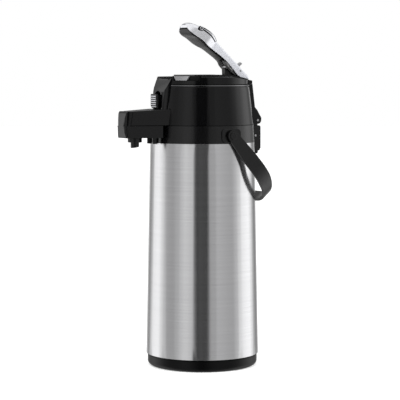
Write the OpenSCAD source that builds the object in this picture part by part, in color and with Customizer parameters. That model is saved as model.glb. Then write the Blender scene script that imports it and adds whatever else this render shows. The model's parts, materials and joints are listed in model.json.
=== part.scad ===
// Lever-action thermal airpot: vacuum-insulated steel body, hinged pump head with a
// pouring arm, press lever, front latch and a rear-hanging bail handle.
// Millimetres. Spout towards -Y, hinge towards +Y, +Z up, origin under the base centre.

/* [Body] */
// Diameter of the steel sleeve at its lower edge
sleeve_bottom_d = 162; // [140:1:190]
// Diameter of the steel sleeve at its upper edge
sleeve_top_d = 150; // [130:1:175]
// Height of the upper edge of the steel sleeve
sleeve_top = 322; // [260:1:380]
// Wall of the steel sleeve
sleeve_wall = 0.6; // [0.5:0.1:1.2]

/* [Head] */
// Height of the joint between collar and lid
joint_z = 347; // [300:1:400]
// Height of the raised deck on top of the lid
lid_top_z = 418; // [417:0.5:422]
// Half width of the pouring arm at its nose
arm_w = 14.4; // [13:0.2:16]
// Reach of the pouring arm in front of the body axis
arm_reach = 131.8; // [130:0.2:136]

/* [Lever] */
// Angle of the raised lever above the horizontal
lever_angle = 42.7; // [40:0.1:44]
// Length of the lever in front of its pivot
lever_len = 107.6; // [106:0.1:109]

/* [Handle] */
// Angle of the hanging handle below the horizontal
handle_angle = 48.5; // [44:0.5:54]
// Reach of the handle from its pivot axis
handle_reach = 124; // [118:1:132]

/* [Hidden] */
$fn = 64;

steel = [0.78, 0.78, 0.8];
black = [0.12, 0.12, 0.13];
satin = [0.2, 0.2, 0.21];
chrome = [0.9, 0.9, 0.92];
rubber = [0.25, 0.25, 0.27];
amber = [0.8, 0.75, 0.6];

sleeve_z = 18;
rb = sleeve_bottom_d / 2;
rt = sleeve_top_d / 2;
lid_r0 = 73.5;              // lid radius at the joint
lid_r1 = 67;                // lid radius under the top band
lid_z0 = joint_z + 0.3;
lid_z1 = 403.5;
band_r = 65;
band_z = 404.7;
rim_z = 415.4;              // top of the lid around the deck
tower_w = 21.9;
root_w = 25.6;              // half width of the arm where it enters the lid
arm_y = -122.2;             // joint between the arm shells and the nose cap
spine_w = 20;
tube_y = -24;               // siphon and outlet axis
tube_z = 353.5;             // level run of the outlet
nozzle_y = -109.5;
hinge = [82, 352];          // lid hinge axis, as Y and Z
lever_at = [55.5, 423.5];   // lever axis
rocker_at = [60, 399];      // pump arm axis
latch_at = [-66, 386];      // front latch axis
pivot_at = [4, 333];        // handle axis
roller_at = [-15.8, -7.2];  // roller axis, from the lever axis
lock_turn = -57;            // bearing of the lock slider around the lid

// A flat outline given in Y and Z, thickened from x0 to x1
module slab(x0, x1) translate([x0, 0, 0]) rotate([90, 0, 90])
    linear_extrude(x1 - x0) children();

// A round bar along X through the point p
module bar(p, r, x0, x1) slab(x0, x1) translate(p) circle(r);

// A box from its two corners
module box(a, b) translate(a) cube(b - a);

// A tube along Z
module pipe(ro, ri, z0, z1) translate([0, 0, z0]) difference() {
    cylinder(r = ro, h = z1 - z0);
    translate([0, 0, -1]) cylinder(r = ri, h = z1 - z0 + 2);
}

// A rectangle with round corners, centred
module round_rect(w, h, r) {
    square([w, h - 2 * r], center = true);
    square([w - 2 * r, h], center = true);
    for (x = [-1, 1], y = [-1, 1]) translate([x * (w / 2 - r), y * (h / 2 - r)]) circle(r);
}

// ---------- body ----------

module body_shell() color(steel) rotate_extrude()
    polygon([[rb - sleeve_wall, sleeve_z], [rb, sleeve_z], [rt, sleeve_top],
        [rt - sleeve_wall, sleeve_top]]);

module base_ring() color(black) rotate_extrude() {
    polygon([[0, 3.2], [66, 3.2], [66, 0], [72.5, 0], [72.5, 6.2], [0, 6.2]]);
    difference() {
        translate([71.5, 7.5]) circle(7.5);
        translate([60, 7.5]) square([30, 10]);
        translate([60, -5]) square([10, 20]);
    }
    translate([72, 6]) square([7, 10]);
    translate([77, 12]) square([0.6, 10]);
    translate([75, 16]) square([2.6, 3]);
    translate([76.6, sleeve_z]) square([rb - sleeve_wall - 76.9, 8]);
}

module foot_ring() color(rubber) pipe(65.9, 60.1, 0, 3.2);

module base_plate() color(black) cylinder(r = 60, h = 3.2);

module liner_cushion() color(rubber) pipe(38, 16, 6.2, 26);

module liner_outer() color(steel) rotate_extrude()
    polygon([[0, 26], [58, 26], [66, 30], [68, 38], [68, 286], [62, 298], [50, 310],
        [45.5, 318], [45.5, 340.5], [44.7, 340.5], [44.7, 317.8], [49.4, 309.5],
        [61.4, 297.5], [67.2, 285.8], [67.2, 38.2], [65.4, 30.7], [57.8, 26.8],
        [0, 26.8]]);

module liner_inner() color(steel) rotate_extrude()
    polygon([[0, 31], [56, 31], [62, 34.5], [64, 41], [64, 283], [58, 294.5],
        [46.8, 305.5], [43.2, 314], [43.2, 340.5], [45.5, 340.5], [45.5, 342],
        [42.4, 342], [42.4, 313.8], [46.1, 305], [57.5, 294.1], [63.2, 282.8],
        [63.2, 41.2], [61.4, 35.1], [55.8, 31.8], [0, 31.8]]);

module boss_outline(grow) translate(pivot_at) round_rect(31 + grow, 20 + grow, 6);

module collar() color(satin) difference() {
    rotate_extrude() polygon([[rt - sleeve_wall - 0.2, 316], [rt - sleeve_wall - 0.2, 322],
        [75, 322], [73.7, 346.8],
        [67.5, 346.8], [65.5, 338], [45.7, 338], [45.7, 333], [70.5, 333], [70.5, 316]]);
    box([-12.6, -72.9, 338], [12.6, -58, 350]);
    slab(71.5, 90) boss_outline(0);
    slab(-90, -71.5) boss_outline(0);
}

module mouth_gasket() color(rubber) rotate_extrude()
    polygon([[45.7, 338], [52, 338], [52, 344], [50, 345], [43.2, 345], [43.2, 342],
        [45.7, 342]]);

module keeper() color(steel) box([-11.9, -63.4, 338], [11.9, -61, 344.8]);

module hinge_bracket() color(black) difference() {
    union() {
        slab(-17, 17) polygon([[70, 308], [86, 308], [88.2, 312], [88.2, 342.5],
            [86, 344.5], [70, 344.5]]);
        slab(-13, 13) polygon([[70, 303.5], [84.5, 303.5], [86, 305], [86.4, 309],
            [70, 309]]);
        slab(-10.5, 10.5) {
            polygon([[77.2, 340], [87, 340], [87, 352], [77.2, 352]]);
            translate(hinge) circle(5);
        }
    }
    rotate_extrude() polygon([[0, 300], [rt + 0.5, 300], [rt + 0.1, 322], [73.75, 348],
        [0, 348]]);
    bar(hinge, 2.06, -20, 20);
    bar([79.5, 330], 1.8, -20, 20);
}

module bracket_rivet() color(steel) bar([79.5, 330], 1.8, -17.3, 17.3);

module pivot_boss() difference() {
    slab(71.5, 75.8) boss_outline(0);
    bar(pivot_at, 3, 71, 77);
}
module pivot_boss_near() color(black) pivot_boss();
module pivot_boss_far() color(black) mirror([1, 0, 0]) pivot_boss();

module handle_pin() {
    bar(pivot_at, 3, 71.5, 80.9);
    bar(pivot_at, 5.2, 80.6, 81.6);
}
module handle_pin_near() color(steel) handle_pin();
module handle_pin_far() color(steel) mirror([1, 0, 0]) handle_pin();

module siphon_flange() color(black) difference() {
    union() {
        pipe(41.6, 38.8, 334, 342.6);
        translate([0, 0, 341]) cylinder(r = 41.6, h = 1.6);
        translate([0, 0, 342]) cylinder(r = 42.9, h = 1.2);
        translate([0, tube_y, 330]) cylinder(r = 6.5, h = 16.4);
    }
    translate([0, tube_y, 320]) cylinder(r = 4.5, h = 30);
    for (a = [45, 90, 135]) rotate([0, 0, a]) translate([24, 0, 330])
        cylinder(r = 5, h = 20);
}

module siphon_tube() color(steel) translate([0, tube_y, 0]) pipe(4.5, 3.8, 38, 346.4);

// ---------- pump head ----------

// Cut that frees the front of the head for the tower and, at the back, for the spine
module head_ends(front, rear) {
    box([-front, -90, 340], [front, -40, 430]);
    box([-root_w - 0.3, -90, 340], [root_w + 0.3, -40, 370.3]);
    box([-rear, 40, 340], [rear, 95, 430]);
}

module lid_shell() color(black) difference() {
    union() {
        difference() {
            rotate_extrude() polygon([[lid_r0 - 3.8, lid_z0], [lid_r0 - 1.5, lid_z0],
                [lid_r1 - 1.5, lid_z1], [lid_r1 - 3.8, lid_z1]]);
            box([-tower_w - 0.1, -90, 340], [tower_w + 0.1, 0, 430]);
            box([-root_w - 0.2, -90, 340], [root_w + 0.2, 0, 370.3]);
        }
        slab(-spine_w, spine_w) {
            polygon([[70.4, lid_z0], [79.5, lid_z0], [87.3, 352], [87.5, 355.5],
                [84, 361], [80.5, 367], [76.6, 371], [72.2, lid_z1], [66, lid_z1]]);
            translate(hinge) circle(5.2);
        }
        for (x = [-10, 7]) slab(x, x + 3)
            polygon([[55, 394], [55, 403.4], [67, 403.4], [68, 385], [62, 390]]);
    }
    bar(hinge, 9.6, -10.9, 10.9);
    bar(hinge, 2, -30, 30);
    bar(rocker_at, 1.5, -12, 12);
    box([-5.4, 50, 391], [5.4, 65.6, 430]);
}

module side_panel() difference() {
    rotate_extrude(angle = 160, start = -80) polygon([[lid_r0 - 1.45, lid_z0 + 0.3],
        [lid_r0, lid_z0 + 0.3], [lid_r1, lid_z1 - 0.3], [lid_r1 - 1.45, lid_z1 - 0.3]]);
    head_ends(tower_w + 0.2, spine_w + 0.15);
}
module side_panel_near() color(black) side_panel();
module side_panel_far() color(black) mirror([1, 0, 0]) side_panel();

module trim() difference() {
    rotate_extrude(angle = 160, start = -80) translate([lid_r1 - 3, lid_z1])
        square([3.2, band_z - lid_z1]);
    head_ends(tower_w + 0.2, spine_w + 0.15);
}
module trim_near() color(chrome) trim();
module trim_far() color(chrome) mirror([1, 0, 0]) trim();

// Everything above the lid top, which falls away behind the lever pivot
module above_slope() slab(-90, 90)
    polygon([[30, lid_top_z], [95, lid_top_z - 13.4], [95, 460], [30, 460]]);

// A ring sector around the body axis, from the bearing a0 to a1
module sector(r0, r1, z0, z1, a0, a1) rotate_extrude(angle = a1 - a0, start = a0)
    translate([r0, z0]) square([r1 - r0, z1 - z0]);

module lid_top() color(black) difference() {
    union() {
        difference() {
            union() {
                rotate_extrude() polygon([[band_r - 2.5, band_z], [band_r, band_z],
                    [band_r, rim_z - 1.7], [band_r - 0.6, rim_z - 0.5],
                    [band_r - 1.8, rim_z], [0, rim_z], [0, rim_z - 2.5],
                    [band_r - 2.5, rim_z - 2.5]]);
                intersection() {
                    cylinder(r = band_r - 1.4, h = 500);
                    union() {
                        slab(-62, 62) polygon([[14, 411.6], [14, 414.4], [28, 412.7],
                            [40, 411.3], [56, 410.2], [70, 409.4], [70, 407.2],
                            [40, 409.1]]);
                        box([-30, -29.8, rim_z - 1], [30, 66, lid_top_z]);
                        slab(-60, 60) polygon([[40, rim_z - 1.7], [40, rim_z - 0.2],
                            [80, rim_z - 0.2], [80, rim_z - 10]]);
                    }
                }
                sector(59, band_r, band_z, rim_z + 1.4, lock_turn - 13.6, lock_turn + 25.6);
                box([-17.6, 21.6, band_z], [17.6, 66, lid_top_z - 1]);
                box([-spine_w, 59, band_z], [spine_w, 71.8, lid_top_z - 1]);
            }
            above_slope();
            for (x = [-90, 29.9]) slab(x, x + 60.1) polygon([[10, rim_z + 0.2],
                [28.2, 413.1], [40, 411.7], [56, 410.5], [72, 409.6], [90, 408.6],
                [90, 430], [10, 430]]);
            box([-15.2, 24, 407], [15.2, 64.5, 430]);
        }
        for (x = [-12.5, 9.5]) slab(x, x + 3) {
            polygon([[48, 406], [63, 406], [58.5, lever_at[1]], [52.5, lever_at[1]]]);
            translate(lever_at) circle(3.2);
        }
    }
    box([-8.5, 24.5, 400], [8.5, 51.5, 410]);
    bar(lever_at, 1.66, -20, 20);
    box([-tower_w - 0.1, -90, 400], [tower_w + 0.1, -59.9, 430]);
    sector(61.9, 80, 410.1, 430, lock_turn - 11.6, lock_turn + 23.8);
}

module tower() color(black) difference() {
    union() {
        intersection() {
            rotate_extrude() {
                polygon([[lid_r0 - 3, lid_z0], [lid_r0, lid_z0], [lid_r1, lid_z1],
                    [lid_r1 - 3, lid_z1]]);
                translate([band_r - 3, lid_z1 - 1]) square([3, rim_z - lid_z1 + 1]);
            }
            box([-tower_w, -90, 370.1], [tower_w, -60.1, 430]);
        }
        intersection() {
            slab(-tower_w, tower_w) polygon([[-73.1, 370.1], [-72.9, 390], [-72.3, 395],
                [-68.4, 410], [-67.4, 413], [-66, 414.9], [-64.2, rim_z], [-60.1, rim_z],
                [-60.1, 370.1]]);
            linear_extrude(500) polygon([[-tower_w, -60], [-tower_w, -64.6], [-20.6, -68.4],
                [-18, -71], [-14.8, -72.6], [-11, -73.2], [11, -73.2], [14.8, -72.6],
                [18, -71], [20.6, -68.4], [tower_w, -64.6], [tower_w, -60]]);
        }
        intersection() {
            translate([0, 0, rim_z - 3]) cylinder(r = band_r, h = 3);
            box([-tower_w, -90, 370.1], [tower_w, -60, 430]);
        }
    }
    difference() {
        slab(-13.5, 13.5) polygon([[-69, 340], [-69, 394], [-66.8, 402], [-64.5, 412.4],
            [-50, 412.4], [-50, 340]]);
        for (x = [-13.6, 10.7]) slab(x, x + 2.9)
            polygon([[-69.5, 381], [-69.5, 391], [-62, 391], [-62, 381]]);
    }
    box([-10.4, -80, 369], [10.4, -68.9, 385.2]);
    translate([0, -68.9, 385.2]) rotate([90, 0, 0]) cylinder(r = 10.4, h = 10);
    bar(latch_at, 1.2, -12.4, 12.4);
}

// The arm seen from above: it widens from the nose cap to its root in the lid
module arm_plan(in, rear) {
    flare = (root_w - arm_w) / (-66.5 - arm_y);
    wide = min(root_w, arm_w + (rear - arm_y) * flare) - in;
    front = arm_y + in;
    mid = min(rear, -66.5);
    polygon([[-arm_w + in, front], [arm_w - in, front], [wide, mid], [wide, rear + 0.01],
        [-wide, rear + 0.01], [-wide, mid]]);
}

module arm_upper() color(black) difference() {
    intersection() {
        translate([0, 0, lid_z0]) linear_extrude(30) arm_plan(0, -60.2);
        slab(-30, 30) polygon([[-130, 340], [-130, 367.2], [arm_y, 367.6], [-74, 369.9],
            [-50, 369.9], [-50, 340]]);
    }
    intersection() {
        translate([0, 0, 340]) linear_extrude(30) arm_plan(2, -50);
        slab(-30, 30) polygon([[-130, 340], [-130, 365.2], [arm_y, 365.6], [-74, 367.9],
            [-50, 367.9], [-50, 340]]);
    }
    box([-11, -69.8, 366], [11, -50, 371]);
}

module arm_lower() color(black) difference() {
    translate([0, 0, 330]) linear_extrude(lid_z0 - 330.4) arm_plan(0, -77);
    translate([0, 0, 332]) linear_extrude(20) arm_plan(2, -79);
    translate([0, nozzle_y, 320]) cylinder(r = 6.2, h = 20);
}

// Nose cap from above, inset by the given margin
module nose_plan(in) {
    w = arm_w - in;
    translate([-w, arm_y - 0.6]) square([2 * w, 4]);
    translate([-5.4, -arm_reach + in]) square([10.8, 12]);
    for (x = [-1, 1]) translate([x * 5.4, -arm_reach + 9]) circle(9 - in);
}

// Nose cap from the side, inset by the given margin and open at the rear
module nose_outline(in) slab(-20, 20) polygon([[arm_y - 0.1 + in, 330 + in],
    [-127.6 + in, 330 + in], [-128.8 + in, 331.4 + in], [-130.4 + in, 337],
    [-arm_reach + in, 346.5], [-131.4 + in, 353], [-129.6 + in, 364.6 - in],
    [-127.6 + in, 367.4 - in], [arm_y - 0.1 + in, 367.4 - in]]);

module nose_cap() color(black) difference() {
    intersection() {
        nose_outline(0);
        translate([0, 0, 325]) linear_extrude(50) nose_plan(0);
    }
    intersection() {
        nose_outline(2);
        translate([0, 0, 325]) linear_extrude(50) nose_plan(2);
    }
}

module nozzle() color(black) difference() {
    translate([0, nozzle_y, 0]) {
        translate([0, 0, 323.6]) cylinder(r = 10, h = 6.4);
        translate([0, 0, 315.5]) cylinder(r = 6, h = 19);
    }
    translate([0, nozzle_y, 310]) cylinder(r = 4.9, h = 30);
    translate([0, nozzle_y, 308.5]) rotate([8, 0, 0]) translate([-10, -10, 0])
        cube([20, 20, 8]);
}

module elbow_path(r) {
    translate([0, tube_y, 347.7]) cylinder(r = r, h = tube_z - 347.7);
    translate([0, tube_y, tube_z]) sphere(r);
    translate([0, tube_y, tube_z]) rotate([90, 0, 0]) cylinder(r = r, h = tube_y - nozzle_y);
    translate([0, nozzle_y, tube_z]) sphere(r);
    translate([0, nozzle_y, 320]) cylinder(r = r, h = tube_z - 320);
}

module spout_tube() color(amber) difference() {
    elbow_path(4.8);
    elbow_path(3.8);
    translate([0, tube_y, 340]) cylinder(r = 3.8, h = 10);
    translate([0, nozzle_y, 310]) cylinder(r = 3.8, h = 12);
}

module outlet_seal() color(rubber) translate([0, tube_y, 0]) pipe(7.5, 4.8, 346.7, 348.5);

module lid_plate() color(satin) difference() {
    rotate_extrude() polygon([[0, 345.1], [66, 345.1], [66, lid_z0], [69.4, lid_z0],
        [69.2, 349.3], [64, 349.3], [64, 347.6], [0, 347.6]]);
    box([-root_w - 0.3, -90, 340], [root_w + 0.3, -57.5, 360]);
    translate([0, tube_y, 340]) cylinder(r = 7.5, h = 20);
    translate([0, 26, 340]) cylinder(r = 7.5, h = 20);
}

module air_duct() color(amber) translate([0, 26, 0]) pipe(9, 7.5, 347.6, 359);

module bellows_tray() color(satin) difference() {
    rotate_extrude() polygon([[0, 359], [67.9, 359], [67.6, 361.5], [0, 361.5]]);
    translate([0, 26, 350]) cylinder(r = 7.5, h = 20);
    box([-root_w - 0.3, -90, 340], [root_w + 0.3, -57.5, 370]);
    box([-spine_w, 64, 340], [spine_w, 90, 370]);
}

module air_valve() color(rubber) translate([0, 26, 361.5]) cylinder(r = 9, h = 1);

module arm_screw_near() color(steel) translate([8, -81.6, 321]) cylinder(r = 3.6, h = 9);
module arm_screw_far() color(steel) translate([-8, -81.6, 321]) cylinder(r = 3.6, h = 9);

module hinge_pin() color(steel) bar(hinge, 2, -19.8, 19.8);

module pump_arm_pin() color(steel) bar(rocker_at, 1.5, -10, 10);

module latch_pin() color(steel) bar(latch_at, 1.2, -12.4, 12.4);

// ---------- pump ----------

pleats = 5;
bellows_z = 361.5;
bellows_h = 30;

module bellows() color(rubber) rotate_extrude() {
    step = bellows_h / pleats;
    outer = [for (i = [0:2 * pleats]) [i % 2 == 0 ? 39 : 44, bellows_z + i * step / 2]];
    inner = [for (i = [2 * pleats:-1:0]) [i % 2 == 0 ? 37.6 : 42.6, bellows_z + i * step / 2]];
    polygon(concat(outer, inner));
}

module return_spring() color(steel) pipe(10, 8.6, bellows_z, bellows_z + bellows_h);

module pusher() color(satin) translate([0, 0, bellows_z + bellows_h]) {
    cylinder(r = 40, h = 2.4);
    pipe(14, 12, 0, 4);
    cylinder(r = 8, h = 6.4);
}

module pump_arm() color(satin) difference() {
    slab(-4.5, 4.5) {
        translate([0, 401]) circle(3);
        polygon([[0, 398], [44, 398.2], [60, 394.6], [60, 403.4], [49, 404], [45.8, 420.1],
            [35.7, 427.6], [35.1, 427], [36, 408], [32, 404], [0, 404]]);
        translate(rocker_at) circle(4.4);
    }
    bar(rocker_at, 1.56, -10, 10);
}

// ---------- lever ----------

// Lever parts are drawn level, pointing to -Y from the pivot, then raised
module raised() translate([0, lever_at[0], lever_at[1]]) rotate([-lever_angle, 0, 0])
    children();

// Lever outline seen from above, inset by the given margin; the tip corners are arcs
module lever_plan(in) linear_extrude(80, center = true) {
    tip = lever_len - in;
    wide = 21 - in;
    neck = 14.5 - in;
    arc = [for (a = [0:10:90]) [wide - 15 + 15 * cos(a), -tip + 15 - 15 * sin(a)]];
    polygon(concat([[-neck, 20], [neck, 20], [neck, -57], [wide - 1, -68], [wide, -74]], arc,
        [for (i = [9:-1:0]) [-arc[i][0], arc[i][1]]],
        [[-wide, -74], [-wide + 1, -68], [-neck, -57]]));
}

module lever_cover() color(chrome) raised() difference() {
    union() {
        intersection() {
            lever_plan(0);
            slab(-30, 30) polygon([[18.5, 0.5], [17.5, 2], [15, 2.7], [-75, 2.7],
                [-86, 2], [-95, 0], [-103, -2.4], [-106, -4.3], [-107.6, -7.4],
                [-106.6, -11.2], [-104, -14.4], [-98.5, -15], [-85.7, -13.9],
                [-76.8, -12.8], [-68, -12.2], [-64, -11.2], [-56, -9.4], [-28, -5.6],
                [-4, -7.2], [4, -8.4]]);
        }
        intersection() {
            lever_plan(2);
            slab(-30, 30) polygon([[16, 2], [14, 4.4], [-59, 4.6], [-62, 5.9], [-67, 6.6],
                [-74, 6.2], [-82, 4.8], [-88, 2.6], [-96, 0.6], [-102, -1], [-102, -5],
                [12, -5]]);
        }
    }
    intersection() {
        lever_plan(1.5);
        slab(-30, 30) polygon([[30, -30], [30, -5.5], [14, 1.3], [-75, 1.3], [-86, 0.6],
            [-95, -1.4], [-102.4, -3.8], [-104.6, -5.4], [-105.8, -7.6], [-110, -11],
            [-110, -30]]);
    }
    box([-12.9, -60, 0], [12.9, 7.5, 3.3]);
    bar([0, 0], 1.6, -20, 20);
}

module lever_grip() color(black) raised() intersection() {
    lever_plan(1.6);
    slab(-30, 30) polygon([[-27.2, 1.2], [-75, 1.2], [-86, 0.5], [-95, -1.5], [-102.4, -3.9],
        [-104.5, -5.5], [-105.7, -7.7], [-107, -12], [-104, -15.6], [-98.5, -16.4],
        [-91, -15.6], [-83.6, -14.8], [-76, -13.6], [-68, -12.9], [-64, -11.9],
        [-56, -10.1], [-28, -6.3], [-27.2, -6.2]]);
}

module lever_core() color(black) raised() difference() {
    union() {
        slab(-9.2, 9.2) {
            circle(3.2);
            polygon([[0.8, 3], [-27, 3.1], [-27, -8], [-20, -9], [-12, -9.3], [-3, -9],
                [1.6, -6.5], [2.6, -2]]);
        }
        slab(-12.4, 12.4) polygon([[-9, -3], [-20, 0.8], [-27, 1.2], [-27, -6.2],
            [-20, -8.8], [-12, -9.1], [-9, -8.6]]);
    }
    slab(-5, 5) polygon([[-31, -30], [-31, -1.5], [-8, -1.5], [-3.4, -5], [5, -5],
        [5, -30]]);
    bar([0, 0], 1.6, -20, 20);
    bar(roller_at, 1.2, -20, 20);
}

module lever_pin() color(steel) raised() bar([0, 0], 1.6, -14.7, 14.7);

module roller() color(chrome) raised() difference() {
    bar(roller_at, 2.8, -4.8, 4.8);
    bar(roller_at, 1.2, -9, 9);
}

module roller_pin() color(steel) raised() bar(roller_at, 1.2, -9.2, 9.2);

module lever_tab() color(satin) raised() slab(5.5, 10)
    polygon([[-7.8, 4.5], [-3.6, 4.5], [-2.4, 10.6], [-3.2, 11.6], [-6.4, 11]]);

// ---------- latch, handle, lock ----------

module front_latch() color(chrome) difference() {
    union() {
        slab(-7.8, 7.8) {
            polygon([[-76.4, 391.2], [-79, 391.2], [-80, 390], [-80, 376.4], [-78, 371.4],
                [-76.4, 371.4]]);
            for (z = [375.2:3.5:390]) translate([-79.9, z]) circle(1.1, $fn = 24);
        }
        slab(-6, 6) polygon([[-77, 389.4], [-66, 389], [-66, 383], [-77, 376]]);
        bar(latch_at, 3.4, -10.2, 10.2);
        for (x = [-10.2, 7.2]) slab(x, x + 3) polygon([[-67.4, 386], [-67, 339.5],
            [-64.9, 339.5], [-63.6, 341], [-63.6, 343], [-64.9, 344.4], [-64.2, 386]]);
    }
    bar(latch_at, 1.25, -20, 20);
}

// Handle drawn level, reaching to +Y from its pivot, then lowered
module handle() color(black) translate([0, pivot_at[0], pivot_at[1]])
    rotate([-handle_angle, 0, 0]) difference() {
        intersection() {
            translate([0, 0, -15]) linear_extrude(30) difference() {
                handle_bow(80.5, handle_reach, 65);
                handle_bow(76, handle_reach - 4.5, 60.5);
            }
            slab(-90, 90) {
                circle(8);
                polygon([[0, -8], [45, -10.5], [85, -10.5], [112, -8], [130, -8], [130, 8],
                    [112, 8], [85, 10.5], [45, 10.5], [0, 8]]);
            }
        }
        bar([0, 0], 3.06, -90, 90);
    }

module handle_bow(w, reach, r) {
    translate([-w, -20]) square([2 * w, reach - r + 20]);
    translate([-w + r, 0]) square([2 * w - 2 * r, reach]);
    for (x = [-1, 1]) translate([x * (w - r), reach - r]) circle(r);
}

module lock_slider() color(chrome) intersection() {
    sector(62, band_r + 0.7, 410.3, rim_z + 1, lock_turn - 12, lock_turn + 12);
    rotate([0, 0, lock_turn]) translate([50, 0, 0]) rotate([90, 0, 90]) linear_extrude(30)
        polygon([[-12.3, 416.6], [12.3, 416.6], [8.5, 410.1], [-8.5, 410.1]]);
}

body_shell();
base_ring();
foot_ring();
base_plate();
liner_cushion();
liner_outer();
liner_inner();
collar();
mouth_gasket();
hinge_bracket();
bracket_rivet();
pivot_boss_near();
pivot_boss_far();
handle_pin_near();
handle_pin_far();
keeper();
siphon_flange();
siphon_tube();
lid_shell();
side_panel_near();
side_panel_far();
lid_top();
trim_near();
trim_far();
tower();
arm_upper();
arm_lower();
nose_cap();
nozzle();
spout_tube();
outlet_seal();
lid_plate();
air_duct();
bellows_tray();
air_valve();
arm_screw_near();
arm_screw_far();
hinge_pin();
pump_arm_pin();
latch_pin();
bellows();
return_spring();
pusher();
pump_arm();
lever_cover();
lever_grip();
lever_core();
lever_pin();
roller();
roller_pin();
lever_tab();
front_latch();
handle();
lock_slider();
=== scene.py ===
"""Looks for the lever airpot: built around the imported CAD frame, in metres.

Shapes are written in millimetres and scaled by MM. The spout points to -Y, the near side
is +X and the object stands on z = 0.
"""
import bpy
import bmesh
import json
import math
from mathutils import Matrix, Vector

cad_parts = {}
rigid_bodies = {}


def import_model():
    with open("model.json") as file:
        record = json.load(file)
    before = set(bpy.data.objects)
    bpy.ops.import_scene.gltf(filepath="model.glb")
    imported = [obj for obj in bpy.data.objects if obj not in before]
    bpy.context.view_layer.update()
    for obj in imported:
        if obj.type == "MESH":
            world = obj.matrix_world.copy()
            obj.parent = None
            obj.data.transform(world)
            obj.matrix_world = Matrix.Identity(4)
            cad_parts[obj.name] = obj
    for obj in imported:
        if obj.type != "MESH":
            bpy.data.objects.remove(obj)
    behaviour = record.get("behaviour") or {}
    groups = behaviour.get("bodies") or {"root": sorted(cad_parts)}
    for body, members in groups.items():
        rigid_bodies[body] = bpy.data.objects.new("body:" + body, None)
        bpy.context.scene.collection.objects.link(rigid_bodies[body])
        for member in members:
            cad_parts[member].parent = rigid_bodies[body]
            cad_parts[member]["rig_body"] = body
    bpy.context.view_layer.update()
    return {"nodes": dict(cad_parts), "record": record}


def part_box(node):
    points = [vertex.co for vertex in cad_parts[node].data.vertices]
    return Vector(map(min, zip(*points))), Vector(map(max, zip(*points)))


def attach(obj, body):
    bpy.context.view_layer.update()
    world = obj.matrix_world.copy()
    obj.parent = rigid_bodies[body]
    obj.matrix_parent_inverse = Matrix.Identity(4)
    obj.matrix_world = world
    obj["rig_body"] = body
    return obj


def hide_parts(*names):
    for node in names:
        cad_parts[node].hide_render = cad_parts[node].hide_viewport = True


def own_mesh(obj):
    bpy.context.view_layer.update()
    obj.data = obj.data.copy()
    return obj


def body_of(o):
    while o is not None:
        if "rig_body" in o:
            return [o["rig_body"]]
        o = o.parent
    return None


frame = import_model()
NODES = frame["nodes"]
scene = bpy.context.scene
MM = 0.001
FULL_TURN = 2 * math.pi


# ---------------------------------------------------------------- materials

def new_mat(name):
    """A node material, its tree and its shader."""
    m = bpy.data.materials.new(name)
    m.use_nodes = True
    nt = m.node_tree
    return m, nt, nt.nodes["Principled BSDF"]


def noise(nt, scale, detail=4.0, rough=0.55, stretch=(1, 1, 1)):
    """Object-space noise, in metres, stretched per axis."""
    tc = nt.nodes.new("ShaderNodeTexCoord")
    mp = nt.nodes.new("ShaderNodeMapping")
    mp.inputs["Scale"].default_value = stretch
    nt.links.new(tc.outputs["Object"], mp.inputs["Vector"])
    n = nt.nodes.new("ShaderNodeTexNoise")
    n.inputs["Scale"].default_value = scale
    n.inputs["Detail"].default_value = detail
    n.inputs["Roughness"].default_value = rough
    nt.links.new(mp.outputs["Vector"], n.inputs["Vector"])
    return n.outputs["Fac"]


def remap(nt, value, low, high):
    """Spreads the middle of a noise over low to high."""
    r = nt.nodes.new("ShaderNodeMapRange")
    r.inputs["From Min"].default_value = 0.3
    r.inputs["From Max"].default_value = 0.7
    r.inputs["To Min"].default_value = low
    r.inputs["To Max"].default_value = high
    nt.links.new(value, r.inputs["Value"])
    return r.outputs["Result"]


def bump(nt, bsdf, height, distance, strength):
    """Surface relief of the given depth, in metres."""
    b = nt.nodes.new("ShaderNodeBump")
    b.inputs["Distance"].default_value = distance
    b.inputs["Strength"].default_value = strength
    nt.links.new(height, b.inputs["Height"])
    nt.links.new(b.outputs["Normal"], bsdf.inputs["Normal"])


def tone(nt, bsdf, value, dark, light):
    """Base colour between dark and light, by value."""
    mix = nt.nodes.new("ShaderNodeMix")
    mix.data_type = "RGBA"
    mix.inputs[6].default_value = (*dark, 1)
    mix.inputs[7].default_value = (*light, 1)
    nt.links.new(value, mix.inputs[0])
    nt.links.new(mix.outputs[2], bsdf.inputs["Base Color"])


def brushed(name, dark, light, rough, aniso, grain=(1.5, 1.5, 420)):
    """Metal brushed around the Z axis."""
    m, nt, b = new_mat(name)
    b.inputs["Metallic"].default_value = 1
    fine = noise(nt, 6, 3, 0.6, grain)
    tone(nt, b, remap(nt, fine, 0, 1), dark, light)
    nt.links.new(remap(nt, fine, rough * 0.85, rough * 1.15), b.inputs["Roughness"])
    b.inputs["Anisotropic"].default_value = aniso
    b.inputs["Anisotropic Rotation"].default_value = 0.25
    t = nt.nodes.new("ShaderNodeTangent")
    t.direction_type = "RADIAL"
    t.axis = "Z"
    nt.links.new(t.outputs["Tangent"], b.inputs["Tangent"])
    bump(nt, b, fine, 0.00002, 0.25)
    return m


def plastic(name, color, rough, grain_scale, grain_depth, spread=0.25, gloss=0.5):
    """Moulded plastic: colour drift, uneven gloss and a fine surface grain."""
    m, nt, b = new_mat(name)
    drift = noise(nt, 30, 3)
    dark = tuple(c * (1 - spread) for c in color)
    light = tuple(c * (1 + spread) for c in color)
    tone(nt, b, remap(nt, drift, 0, 1), dark, light)
    nt.links.new(remap(nt, noise(nt, 90, 4), rough * 0.88, rough * 1.12),
                 b.inputs["Roughness"])
    b.inputs["Specular IOR Level"].default_value = gloss
    bump(nt, b, noise(nt, grain_scale, 2), grain_depth, 0.6)
    return m


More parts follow.
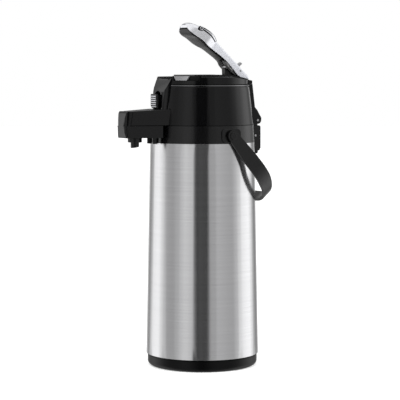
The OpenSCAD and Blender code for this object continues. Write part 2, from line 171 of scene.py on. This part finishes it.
def polished(name, color, rough, metal=1.0):
    """Smooth metal or metallic paint with slight wear."""
    m, nt, b = new_mat(name)
    b.inputs["Metallic"].default_value = metal
    wear = noise(nt, 45, 1)
    tone(nt, b, remap(nt, wear, 0, 1), tuple(c * 0.96 for c in color), color)
    nt.links.new(remap(nt, noise(nt, 70, 1), rough * 0.88, rough * 1.12),
                 b.inputs["Roughness"])
    bump(nt, b, noise(nt, 160, 1), 0.000002, 0.15)
    return m


MATS = {
    "sleeve_steel": brushed("sleeve_steel", (0.6, 0.6, 0.61), (0.7, 0.7, 0.71), 0.2, 0.85),
    "liner_steel": brushed("liner_steel", (0.5, 0.5, 0.51), (0.6, 0.6, 0.61), 0.3, 0.5),
    "base_black": plastic("base_black", (0.0012, 0.0012, 0.0014), 0.3, 900, 0.00003,
                          gloss=0.16),
    "rubber": plastic("rubber", (0.006, 0.006, 0.006), 0.8, 600, 0.00006, gloss=0.2),
    "satin_black": plastic("satin_black", (0.0012, 0.0012, 0.0014), 0.22, 900, 0.00002,
                           gloss=0.42),
    "gloss_black": plastic("gloss_black", (0.0008, 0.0008, 0.001), 0.15, 1200, 0.000008,
                           gloss=0.32),
    "matte_black": plastic("matte_black", (0.0018, 0.0018, 0.002), 0.34, 1100, 0.00004,
                           gloss=0.4),
    "clear_plastic": plastic("clear_plastic", (0.6, 0.57, 0.48), 0.3, 400, 0.00002, 0.05),
    "chrome": polished("chrome", (0.74, 0.745, 0.775), 0.16, 0.85),
    "hardware_steel": polished("hardware_steel", (0.4, 0.4, 0.41), 0.3, 0.8),
    "silver_paint": polished("silver_paint", (0.69, 0.70, 0.745), 0.24, 0.3),
    "grey_casting": polished("grey_casting", (0.3, 0.3, 0.3), 0.42, 0.5),
    "dark_trim": polished("dark_trim", (0.2, 0.2, 0.205), 0.2),
}
SLOT = {row["node"]: row["material_slot"] for row in frame["record"]["subparts"]}
FINISH = {"lever_cover": "silver_paint", "trim_near": "dark_trim", "trim_far": "dark_trim"}
for name, ob in NODES.items():
    for slot in ob.material_slots:
        slot.material = MATS[FINISH.get(name, SLOT[name])]


# ---------------------------------------------------------------- mesh tools

def show(name, bm, nodes, like=None, slot=None, finish=None, sharp=38):
    """Puts a mesh, in metres and the row frame, in place of the CAD nodes it stands for."""
    like = like or nodes[0]
    slot = slot or SLOT[like]
    bmesh.ops.recalc_face_normals(bm, faces=bm.faces)
    me = bpy.data.meshes.new(name)
    bm.to_mesh(me)
    bm.free()
    for p in me.polygons:
        p.use_smooth = True
    me.set_sharp_from_angle(angle=math.radians(sharp))
    me.materials.append(MATS[finish or slot])
    ob = bpy.data.objects.new(name, me)
    scene.collection.objects.link(ob)
    body = body_of(NODES[like])
    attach(ob, body if isinstance(body, str) else body[0])
    if nodes:
        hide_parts(*nodes)
    even = ob.modifiers.new("even", "WEIGHTED_NORMAL")
    even.keep_sharp = True
    return ob


def cad(node):
    """The node's own mesh with its flat areas merged, ready for rounding."""
    me = NODES[node].data.copy()
    me.transform(NODES[node].matrix_world)
    bm = bmesh.new()
    bm.from_mesh(me)
    bpy.data.meshes.remove(me)
    bmesh.ops.remove_doubles(bm, verts=bm.verts, dist=2e-6)
    bmesh.ops.dissolve_limit(bm, angle_limit=math.radians(0.5), verts=bm.verts,
                             edges=bm.edges)
    return bm


def round_edges(bm, width, test=None, steps=3, angle=32):
    """Bevels the edges sharper than the angle that pass the test; width in millimetres."""
    edges = []
    for e in bm.edges:
        if len(e.link_faces) == 2 and e.calc_face_angle(0) > math.radians(angle):
            a, b = e.verts[0].co / MM, e.verts[1].co / MM
            if test is None or test(a, b):
                edges.append(e)
    if edges:
        bmesh.ops.bevel(bm, geom=edges, offset=width * MM, offset_type="OFFSET",
                        segments=steps, profile=0.5, affect="EDGES", clamp_overlap=True,
                        loop_slide=True)
    return bm


def soft(node, width, big=(), steps=3, finish=None):
    """A CAD node with its edges rounded; big lists (width, test) done before the rest."""
    bm = cad(node)
    for w, test in big:
        round_edges(bm, w, test, 5)
    round_edges(bm, width, None, steps)
    return show(node + "_form", bm, [node], finish=finish)


def stretch(node, low, rise, width, big=(), finish=None):
    """Like soft, with the points above the height low moved up by rise."""
    bm = cad(node)
    for v in bm.verts:
        if v.co.z / MM > low:
            v.co.z += rise * MM
    for w, test in big:
        round_edges(bm, w, test, 5)
    round_edges(bm, width)
    return show(node + "_form", bm, [node], finish=finish)


def loft(sections, cap=True):
    """Skins a list of closed loops of equal length."""
    bm = bmesh.new()
    rows = [[bm.verts.new(p) for p in sec] for sec in sections]
    n = len(rows[0])
    for r, q in zip(rows, rows[1:]):
        for i in range(n):
            bm.faces.new((r[i], r[(i + 1) % n], q[(i + 1) % n], q[i]))
    if cap:
        bm.faces.new(rows[0])
        bm.faces.new(list(reversed(rows[-1])))
    return bm


def curve_at(table, u):
    """Smooth value at u through a table of (u, value)."""
    if u <= table[0][0]:
        return table[0][1]
    for i in range(len(table) - 1):
        (u0, v0), (u1, v1) = table[i], table[i + 1]
        if u <= u1:
            t = (u - u0) / (u1 - u0)
            before = table[i - 1] if i else table[i]
            after = table[i + 2] if i + 2 < len(table) else table[i + 1]
            m0 = (v1 - before[1]) / (u1 - before[0]) * (u1 - u0)
            m1 = (after[1] - v0) / (after[0] - u0) * (u1 - u0)
            lo, hi = min(v0, v1), max(v0, v1)
            v = ((2 * t ** 3 - 3 * t ** 2 + 1) * v0 + (t ** 3 - 2 * t ** 2 + t) * m0
                 + (3 * t ** 2 - 2 * t ** 3) * v1 + (t ** 3 - t ** 2) * m1)
            return min(hi, max(lo, v))
    return table[-1][1]


# ---------------------------------------------------------------- body and lid

ARM_FRONT, CAP_BACK = -119.5, -122.8     # y of the arm shells' front end and behind the joint
ARM_FOOT, STEP_Z = 330, 347              # heights of the arm's underside and the joint's step


def seam(bm, reach=0.0):
    """Leans the joint between the arm shells and the nose cap, with a step half way.

    Points fade out of the lean over reach millimetres in front of the joint.
    """
    for v in bm.verts:
        y, z = v.co.y / MM, v.co.z / MM
        if y < ARM_FRONT:
            if z < STEP_Z:
                dy = -2.9 - (z - ARM_FOOT) / 17 * 2.8
            else:
                dy = -1.4 + (z - STEP_Z) / 20 * 3.3
            k = 1.0
            if reach and y <= CAP_BACK:
                k = max(0.0, 1 + (y - CAP_BACK) / reach)
            v.co.y += dy * k * MM
            v.co.x *= 1 + 0.2 * dy * k / 14.4            # the cap narrows as it goes forward


def latch():
    """The button's dark body with its legs, and bright bars across its face."""
    bm = cad("front_latch")
    rib, ground = -80.0005 * MM, -79.7 * MM      # y of the ribs' crests and of the dark face
    for v in {v for f in bm.faces if f.calc_center_median().y < rib for v in f.verts}:
        if v.co.y < ground - 0.1 * MM:
            v.co.y = ground
    bmesh.ops.remove_doubles(bm, verts=bm.verts, dist=2e-5)
    bmesh.ops.dissolve_limit(bm, angle_limit=math.radians(1), verts=bm.verts,
                             edges=bm.edges)
    round_edges(bm, 0.5)
    show("latch_body", bm, ["front_latch"], finish="matte_black")
    first, pitch, count = 373.3, 2.95, 6
    bars = bar_across(first)
    for i in range(1, count):
        extra = bar_across(first + pitch * i)
        me = bpy.data.meshes.new("bar")
        extra.to_mesh(me)
        extra.free()
        bars.from_mesh(me)
        bpy.data.meshes.remove(me)
    show("latch_bars", bars, [], like="front_latch", sharp=60)


def bar_across(z):
    """One rounded bar of the latch button, lying across it at height z."""
    wide, tall, deep = 7.6, 0.95, 1.75           # half sizes
    back = -79.3 if z > 377 else -78.2 - (z - 371.4) / 5     # the face leans in at its foot
    shoulder = 0.88                              # where the rounded ends begin
    half = [0.2, 0.6, shoulder, 0.95, 0.985, 1]
    rows = []
    for x in [-x for x in reversed(half)] + half:
        end = max(0.0, abs(x) - shoulder) / (1 - shoulder)
        k = 0.1 + 0.9 * math.sqrt(max(0.0, 1 - end ** 2))
        rows.append([Vector((x * wide, back - deep * k * math.cos(a),
                             z + tall * k * math.sin(a))) * MM
                     for a in [FULL_TURN * i / 16 for i in range(16)]])
    return loft(rows)


def panel_corner(a, b):
    """A short, nearly level edge: the corners of a side panel."""
    return (a - b).length < 3 and abs(a.z - b.z) < 1.2


def boss_rim(a, b):
    """A short edge along the boss's blend into the collar."""
    return abs(a.x - b.x) > 1.5 and (a - b).length < 8


def lid_shell():
    """The spine is raised a little, so that it meets the deck without a slit."""
    bm = cad("lid_shell")
    for v in bm.verts:
        if v.co.z > 403 * MM and v.co.y > 60 * MM:
            v.co.z += 1.1 * MM
    show("lid_shell_form", round_edges(bm, 1.2), ["lid_shell"])


def lid_top():
    """The deck, with painted shade in the pocket beside the lock slider: the pocket's faces
    take the dark matt rubber so that it reads as a deep, shaded hole.
    """
    top = soft("lid_top", 0.7)
    # painted shade: the pocket's faces are given dark matt rubber to stand in for the shadow
    # of a deeper hole
    top.data.materials.append(MATS["rubber"])
    for p in top.data.polygons:
        c = p.center / MM
        turn = math.degrees(math.atan2(c.y, c.x))
        if 61 < c.xy.length < 62.4 and c.z > 410.4 and -70 < turn < -32:
            p.material_index = 1


def tower():
    """The tower's shoulders draw in towards its top."""
    bm = cad("tower")
    foot, height, middle, shoulder = 386, 29, 10.5, 11.4
    for v in bm.verts:
        x, y, z = v.co / MM
        if z > foot and abs(x) > middle and y < -61:
            lean = (z - foot) / height * (abs(x) - middle) / shoulder
            v.co.y = min(y + 6.2 * lean, -60.6) * MM
    show("tower_form", round_edges(bm, 0.9), ["tower"])


def pouring_arm():
    """The arm's shells and nose cap, with the leaning joint between them."""
    for node in ("arm_upper", "arm_lower"):
        bm = cad(node)
        seam(bm)
        show(node + "_form", round_edges(bm, 1.3, None, 4), [node])
    bm = cad("nose_cap")
    for z in (STEP_Z - 0.1, STEP_Z + 0.1):       # points on both sides of the joint's step
        bmesh.ops.bisect_plane(bm, geom=bm.verts[:] + bm.edges[:] + bm.faces[:], dist=1e-7,
                               plane_co=(0, 0, z * MM), plane_no=(0, 0, 1))
    seam(bm, 9.0)
    show("nose_cap_form", round_edges(bm, 0.8, None, 4), ["nose_cap"])


def body_forms():
    soft("base_ring", 0.8)
    soft("foot_ring", 0.8)
    soft("collar", 0.6)
    soft("body_shell", 0.2, steps=2)
    for side in ("near", "far"):
        stretch("side_panel_" + side, 402, -1.9, 0.5, [(4.2, panel_corner)])
        stretch("trim_" + side, 403, -1.1, 0.3, finish="dark_trim")
        soft("pivot_boss_" + side, 1.0, [(4, boss_rim)])
        soft("handle_pin_" + side, 0.5)
        soft("arm_screw_" + side, 0.5)
    lid_shell()
    lid_top()
    tower()
    soft("hinge_bracket", 1.4)
    soft("hinge_pin", 0.5)
    soft("bracket_rivet", 0.5)
    soft("handle", 1.5, steps=4)
    soft("lock_slider", 0.5)
    latch()
    soft("nozzle", 0.6)
    pouring_arm()


# ---------------------------------------------------------------- lever

AXIS = Vector((0, 55.5, 423.5))              # the lever's own axle
LEAN = math.radians(42.7)                    # how far the lever stands up at rest
TIP = 107.6                                  # its reach from the axle


def lever_point(x, u, v):
    """Across, along towards the tip and up, in millimetres from the lever axis."""
    c, s = math.cos(LEAN), math.sin(LEAN)
    return Vector((x, AXIS.y - u * c + v * s, AXIS.z + u * s + v * c)) * MM


def half_width(u):
    """Half the lever's width: a narrow neck, then the paddle with its rounded tip."""
    nose = 24
    if u > TIP - nose:
        return 3 + 18 * math.sqrt(max(0.0, 1 - ((u - TIP + nose) / nose) ** 2.3))
    return curve_at([(-20, 14.5), (54, 14.5), (58, 14.9), (64, 17.6), (70, 20.2), (74, 21),
                     (120, 21)], u)


# the cover's side view, as (along, up) of its crest and of its lower rim
TOP = [(-18.5, 1.2), (-17.4, 3.0), (-15, 4.2), (-12, 4.5), (57, 4.5), (64, 4.7), (76, 4.2),
       (84, 3), (90, 1.7), (96, 0), (101, -1.7), (104.5, -3.6), (106.6, -5.8),
       (107.55, -8.2)]
RIM = [(-18.5, 0.6), (-14, -2.4), (-9, -5.2), (-4, -7.8), (4, -7.1), (28, -5.6), (56, -9.4),
       (64, -11.2), (68, -12.1), (76.8, -12.8), (85.7, -14.2), (91, -15.6), (96.5, -16.2),
       (100.5, -15.8), (104, -14), (106.6, -11.6), (107.55, -9.8)]


def arch(w, top, low, r, crown, steps=7):
    """A channel section, from its left rim over the crowned top to its right rim."""
    r = min(r, w * 0.9, (top - low) * 0.8)
    left = [(-w, low)]
    for i in range(steps + 1):
        a = math.pi - i * math.pi / 2 / steps
        left.append((-w + r + r * math.cos(a), top - crown - r + r * math.sin(a)))
    roof = []
    for k in range(1, 6):
        x = (-w + r) * (1 - k / 3)
        roof.append((x, top - crown * (x / w) ** 2))
    return left + roof + [(-x, v) for x, v in reversed(left)]


STOPS = [-18.5, -18.1, -17.4, -16, -14, -11, -7, 0, 8, 18, 28, 36, 44, 51, 55, 58, 61, 64,
         67, 70, 73, 76, 80, 84, 88, 91, 93, 95.5, 98, 100, 102, 103.5, 104.8, 105.8, 106.6,
         107.1, 107.4, 107.55]


def lever_shell():
    """The cover's painted neck and chromed paddle, in one run of sections."""
    cover = []
    for u in STOPS:
        w, t, b = half_width(u), curve_at(TOP, u), curve_at(RIM, u)
        r = curve_at([(-18, 2.6), (50, 2.6), (72, 5), (100, 6.5), (108, 6)], u)
        out = arch(w, t, b, r, 0.7)
        solid = min(1.0, max(0.0, (u - 102) / 2.5))      # the tip closes into a full nose
        roof = (t - 1.3) * (1 - solid) + (b + 0.15) * solid
        inn = arch(max(w - 1.4, 0.4), roof, min(b, roof - 0.1), max(r - 1.3, 0.3),
                   0.5 * (1 - solid))
        cover.append([lever_point(x, u, v) for x, v in out + list(reversed(inn))])
    cut = STOPS.index(58)
    show("lever_neck", loft(cover[:cut + 1]), ["lever_cover"], finish="silver_paint",
         sharp=50)
    show("lever_paddle", loft(cover[cut:]), [], like="lever_cover", sharp=50)


def lever_grip():
    """The black underside, bellied a little, which fills the cover and drops below its rim."""
    grip = []
    for u in [27.3, 27.6, 28.4] + [s for s in STOPS if 30 < s < 104]:
        w = half_width(u) - 1.5
        b = curve_at(RIM, u) - curve_at([(27, 0.5), (60, 0.9), (97, 1.3), (103.5, -0.3)], u)
        b = max(b, -4.7 - 0.1175 * u - 0.32 * max(0, u - 86.5))   # clears the deck
        belly = 0.4 if u > 28 else 0.0
        edge = [(-w, b + 4), (-w, b + 1.2), (-w + 0.5, b + 0.5), (-w + 1.6, b + 0.1)]
        row = edge + [(w * k / 4, b - belly * (1 - (k / 4) ** 2)) for k in range(-3, 4)]
        row += [(-x, v) for x, v in reversed(edge)]
        grip.append([lever_point(x, u, v) for x, v in row])
    show("lever_grip_form", loft(grip), ["lever_grip"], sharp=50)


def lever():
    lever_shell()
    lever_grip()
    hump()
    eyelets()
    soft("lever_core", 0.6, finish="grey_casting")
    soft("roller", 0.4, finish="hardware_steel")
    soft("lever_tab", 0.6)
    for node in ("lever_pin", "roller_pin"):
        soft(node, 0.3, steps=2)


def hump():
    """Bright cap over the paddle's root, and a matt black band under it, which is painted
    shade for the recess round the cap.
    """
    ridge = [(57.6, 4.5), (58.6, 5.7), (61, 6.4), (66, 6.75), (74, 6.4), (80, 5.4),
             (85, 3.7), (87.2, 2.5), (88, 1.9)]
    stops = [57.6, 58, 58.6, 60, 62, 65, 68, 71, 74, 77, 80, 83, 85, 86.5, 87.4, 88]
    for name, slot in (("hump_form", "chrome"), ("hump_painted_shade", "matte_black")):
        rows = []
        for u in stops:
            ends = min(1, (u - 57.2) / 2.2, (88.6 - u) / 2.8)
            w = half_width(u) + 0.3 - 4 * (1 - math.sqrt(1 - (1 - ends) ** 2))
            t = curve_at(TOP, u)
            if slot == "chrome":
                out = arch(w, curve_at(ridge, u), t - 2.8, 3.2, 0.7)
            # painted shade: the matt black band just under the cap stands in for the recess's
            # shadow
            else:
                out = arch(w - 0.15, t + 0.3, t - 4.4, 0.8, 0.4)
            rows.append([lever_point(x, u, v) for x, v in out])
        show(name, loft(rows), [], like="lever_cover", slot=slot, sharp=50)


def eyelets():
    """A bright ring in a dark seat on each side of the paddle."""
    for side in (-1, 1):
        bm = bmesh.new()
        bmesh.ops.create_uvsphere(bm, u_segments=32, v_segments=16, radius=1)
        for v in bm.verts:
            k = v.co.copy()
            for i in range(3):                   # from a ball towards a rounded block
                k[i] = math.copysign(abs(k[i]) ** 0.6, k[i])
            v.co = lever_point(side * (18.9 + 2.15 * k.x), 90.8 + 4.4 * k.y,
                               -2.7 + 3.9 * k.z - 1.32 * k.y)
        tag = "near" if side > 0 else "far"
        show("eyelet_seat_" + tag, bm, [], like="lever_cover", slot="matte_black")
        ring = []
        for i in range(33):
            a = FULL_TURN * i / 32
            ring.append([lever_point(side * (20.75 + 0.55 * math.cos(c)),
                                     91.2 + (2.1 + 0.6 * math.sin(c)) * math.cos(a),
                                     -1.9 + (2.1 + 0.6 * math.sin(c)) * math.sin(a))
                         for c in [FULL_TURN * j / 12 for j in range(12)]])
        bm = loft(ring, cap=False)
        bmesh.ops.remove_doubles(bm, verts=bm.verts, dist=1e-7)
        show("eyelet_" + tag, bm, [], like="lever_cover", slot="chrome")


# ---------------------------------------------------------------- pump, inside

def spring():
    """The return spring as a coil."""
    low, high = (Vector(c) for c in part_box("return_spring"))
    mid = (low + high) / 2
    wire, turns, steps = 0.7 * MM, 6, 28
    reach = (high.x - low.x) / 2 - wire
    rows = []
    for i in range(turns * steps + 1):
        t = i / (turns * steps)
        a = FULL_TURN * turns * t
        share = t - 0.05 * math.sin(2 * FULL_TURN * t)       # closer at the ends and middle
        out = Vector((math.cos(a), math.sin(a), 0))
        c = Vector((mid.x, mid.y, low.z + wire + (high.z - low.z - 2 * wire) * share))
        c += out * reach
        rows.append([c + (out * math.cos(b) + Vector((0, 0, math.sin(b)))) * wire
                     for b in [FULL_TURN * j / 10 for j in range(10)]])
    ob = show("return_spring_form", loft(rows), ["return_spring"])
    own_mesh(ob)


def bellows():
    """The folded bellows around the spring."""
    low, high = (Vector(c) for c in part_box("bellows"))
    mid = (low + high) / 2
    depth, wall, folds = 7 * MM, 0.9 * MM, 5
    middle = (high.x - low.x) / 2 - depth / 2
    side = []
    for i in range(folds * 8 + 1):
        t = i / (folds * 8)
        side.append((middle - depth / 2 * math.cos(FULL_TURN * folds * t),
                     low.z + (high.z - low.z) * t))
    profile = side + [(r - wall, z) for r, z in reversed(side)]
    rows = [[Vector((mid.x + r * math.cos(a), mid.y + r * math.sin(a), z))
             for r, z in profile] for a in [FULL_TURN * i / 72 for i in range(73)]]
    bm = loft(rows, cap=False)
    bmesh.ops.remove_doubles(bm, verts=bm.verts, dist=1e-7)
    ob = show("bellows_form", bm, ["bellows"])
    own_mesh(ob)


body_forms()
lever()
spring()
bellows()


# ---------------------------------------------------------------- stage

CAMERA_BEARING = -30.0                       # degrees from +X
# brightness round the horizon, by bearing from the camera's, positive to its right
BANDS = [(-180, 0.2), (-174, 0.25), (-168, 1.0), (-150, 0.3), (-136, 0.55), (-126, 1.2),
         (-106, 1.35), (-92, 0.9), (-80, 0.5), (-66, 0.46), (-52, 0.62), (-36, 0.85),
         (-24, 0.74), (-18.5, 0.6), (-16.5, 0.05), (-4, 0.09), (12, 0.06), (14.5, 0.5),
         (30, 0.62), (48, 0.56), (66, 0.5), (80, 0.7), (94, 1.25), (116, 1.45), (130, 1.0),
         (142, 0.35), (152, 0.3), (168, 0.9), (174, 0.2)]


def add_math(nt, operation, *values):
    """A maths node; a value is a number or an output to link."""
    n = nt.nodes.new("ShaderNodeMath")
    n.operation = operation
    for i, v in enumerate(values):
        if isinstance(v, float):
            n.inputs[i].default_value = v
        else:
            nt.links.new(v, n.inputs[i])
    return n.outputs[0]


def world():
    """A studio around the object: soft boxes by bearing, white where the lens looks."""
    w = bpy.data.worlds.new("studio")
    scene.world = w
    w.use_nodes = True
    nt = w.node_tree
    nt.nodes.clear()
    out = nt.nodes.new("ShaderNodeOutputWorld")
    tc = nt.nodes.new("ShaderNodeTexCoord")
    sep = nt.nodes.new("ShaderNodeSeparateXYZ")
    nt.links.new(tc.outputs["Generated"], sep.inputs[0])
    angle = add_math(nt, "ARCTAN2", sep.outputs["Y"], sep.outputs["X"])
    turns = add_math(nt, "MULTIPLY_ADD", angle, 1 / FULL_TURN, 1.0)      # whole at +X
    ramp = nt.nodes.new("ShaderNodeValToRGB")
    ramp.color_ramp.interpolation = "LINEAR"
    nt.links.new(add_math(nt, "FRACT", turns), ramp.inputs[0])
    stops = sorted((((CAMERA_BEARING + b) / 360.0) % 1.0, v) for b, v in BANDS)
    els = ramp.color_ramp.elements
    for e, (p, v) in ((els[0], stops[0]), (els[1], stops[-1])):
        e.position, e.color = p, (v, v, v, 1)
    for p, v in stops[1:-1]:
        e = els.new(p)
        e.color = (v, v, v, 1)
    top = nt.nodes.new("ShaderNodeMapRange")     # a large soft box overhead
    top.inputs["From Min"].default_value = 0.55
    top.inputs["From Max"].default_value = 0.8
    nt.links.new(sep.outputs["Z"], top.inputs["Value"])
    mix = nt.nodes.new("ShaderNodeMix")
    mix.data_type = "RGBA"
    mix.inputs[7].default_value = (1.1, 1.1, 1.1, 1)
    nt.links.new(top.outputs["Result"], mix.inputs[0])
    nt.links.new(ramp.outputs["Color"], mix.inputs[6])
    lit = nt.nodes.new("ShaderNodeBackground")
    nt.links.new(mix.outputs[2], lit.inputs["Color"])
    white = nt.nodes.new("ShaderNodeBackground")
    white.inputs["Color"].default_value = (1, 1, 1, 1)
    path = nt.nodes.new("ShaderNodeLightPath")
    pick = nt.nodes.new("ShaderNodeMixShader")
    nt.links.new(path.outputs["Is Camera Ray"], pick.inputs[0])
    nt.links.new(lit.outputs[0], pick.inputs[1])
    nt.links.new(white.outputs[0], pick.inputs[2])
    nt.links.new(pick.outputs[0], out.inputs["Surface"])


def floor():
    """A white ground that the object shades but doesn't mirror."""
    bm = bmesh.new()
    bmesh.ops.create_circle(bm, cap_ends=True, segments=96, radius=9)
    me = bpy.data.meshes.new("floor")
    bm.to_mesh(me)
    bm.free()
    ob = bpy.data.objects.new("floor", me)
    scene.collection.objects.link(ob)
    m, nt, b = new_mat("floor")
    b.inputs["Base Color"].default_value = (0.9, 0.9, 0.9, 1)
    b.inputs["Roughness"].default_value = 0.9
    b.inputs["Specular IOR Level"].default_value = 0.1
    b.inputs["Emission Color"].default_value = (1, 1, 1, 1)
    b.inputs["Emission Strength"].default_value = 0.45
    me.materials.append(m)
    ob.visible_glossy = False


def look_at(ob, place, target):
    ob.location = place
    ob.rotation_euler = (Vector(target) - Vector(place)).to_track_quat("-Z", "Y").to_euler()
    scene.collection.objects.link(ob)


def area(name, place, power):
    """A square soft light, 1.4 m wide, aimed at the body."""
    li = bpy.data.lights.new(name, "AREA")
    li.shape = "RECTANGLE"
    li.size, li.size_y = 1.4, 1.4
    li.energy = power
    ob = bpy.data.objects.new(name, li)
    look_at(ob, place, (0, 0, 0.2))
    ob.visible_glossy = False


def camera():
    """A long lens, level with the lid, 2.5 m away."""
    c = bpy.data.cameras.new("camera")
    c.sensor_width = 36
    c.lens = 159.12
    c.clip_end = 50
    ob = bpy.data.objects.new("camera", c)
    bearing = math.radians(CAMERA_BEARING)
    distance, eye_height, aim_height, shift = 2.538, 0.44, 0.238, -0.0032
    ahead = Vector((math.cos(bearing), math.sin(bearing), 0))
    aside = Vector((-ahead.y, ahead.x, 0)) * shift
    look_at(ob, ahead * distance + aside + Vector((0, 0, eye_height)),
            aside + Vector((0, 0, aim_height)))
    scene.camera = ob


camera()
world()
floor()
area("key", (1.0, -1.9, 1.9), 26)
area("fill", (1.9, 1.2, 1.6), 20)
scene.view_settings.view_transform = "Standard"
